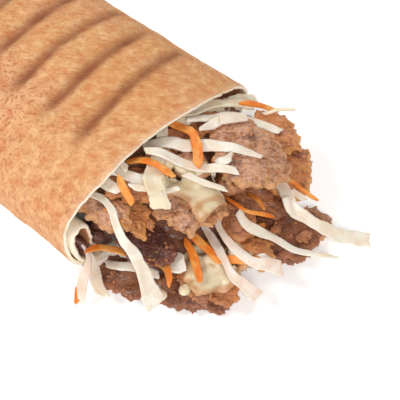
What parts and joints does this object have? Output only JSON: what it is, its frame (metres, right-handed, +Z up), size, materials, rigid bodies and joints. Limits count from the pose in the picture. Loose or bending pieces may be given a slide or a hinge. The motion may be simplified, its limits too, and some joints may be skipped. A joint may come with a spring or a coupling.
{
  "type": "gyro wrap",
  "caption": "Grilled flatbread rolled round sliced meat, with cabbage and carrot shreds and melted cheese spilling from its open end.",
  "frame": {"origin": "on the flat underside of the flatbread, half way along the bread", "axes": "+X along the roll towards its open mouth, +Y across the roll to the side away from the bread's inner curl, +Z up"},
  "size_m": [0.219, 0.0834, 0.0368],
  "materials": {
    "flatbread": "dry grilled flatbread, mottled, with soft brown grill marks",
    "filling": "packed sliced meat, dark and moist",
    "meat": "browned sliced meat, rough, slightly greasy",
    "cheese": "soft melted cheese, smooth and shiny",
    "cabbage": "raw white cabbage, moist and slightly clear",
    "carrot": "raw shredded carrot, moist"
  },
  "bodies": {
    "root": {"cabbage_across": "cabbage", "cabbage_base": "cabbage", "cabbage_cheese": "cabbage", "cabbage_chip": "cabbage", "cabbage_curl_hanging": "cabbage", "cabbage_curl_low": "cabbage", "cabbage_down": "cabbage", "cabbage_edge": "cabbage", "cabbage_far_broad": "cabbage", "cabbage_far_long": "cabbage", "cabbage_front_left": "cabbage", "cabbage_front_middle": "cabbage", "cabbage_front_right": "cabbage", "cabbage_grey": "cabbage", "cabbage_leaf": "cabbage", "cabbage_lip_near": "cabbage", "cabbage_lip_wide": "cabbage", "cabbage_long": "cabbage", "cabbage_longest": "cabbage", "cabbage_small": "cabbage", "cabbage_spur": "cabbage", "cabbage_star": "cabbage", "cabbage_wide": "cabbage", "carrot_arched": "carrot", "carrot_far": "carrot", "carrot_floor": "carrot", "carrot_front_left": "carrot", "carrot_front_right": "carrot", "carrot_light": "carrot", "carrot_lip_near": "carrot", "carrot_middle": "carrot", "carrot_pair_left": "carrot", "carrot_pair_right": "carrot", "carrot_rim": "carrot", "carrot_top": "carrot", "cheese_lower": "cheese", "cheese_upper": "cheese", "filling_core": "filling", "flatbread": "flatbread", "meat_base_far": "meat", "meat_base_front": "meat", "meat_base_near": "meat", "meat_behind": "meat", "meat_bowl": "meat", "meat_brown": "meat", "meat_corner": "meat", "meat_crumb": "meat", "meat_dark": "meat", "meat_far_tip": "meat", "meat_large": "meat", "meat_left": "meat", "meat_lip": "meat", "meat_near": "meat", "meat_red": "meat", "meat_right": "meat", "meat_under_cheese": "meat"}
  },
  "joints": []
}
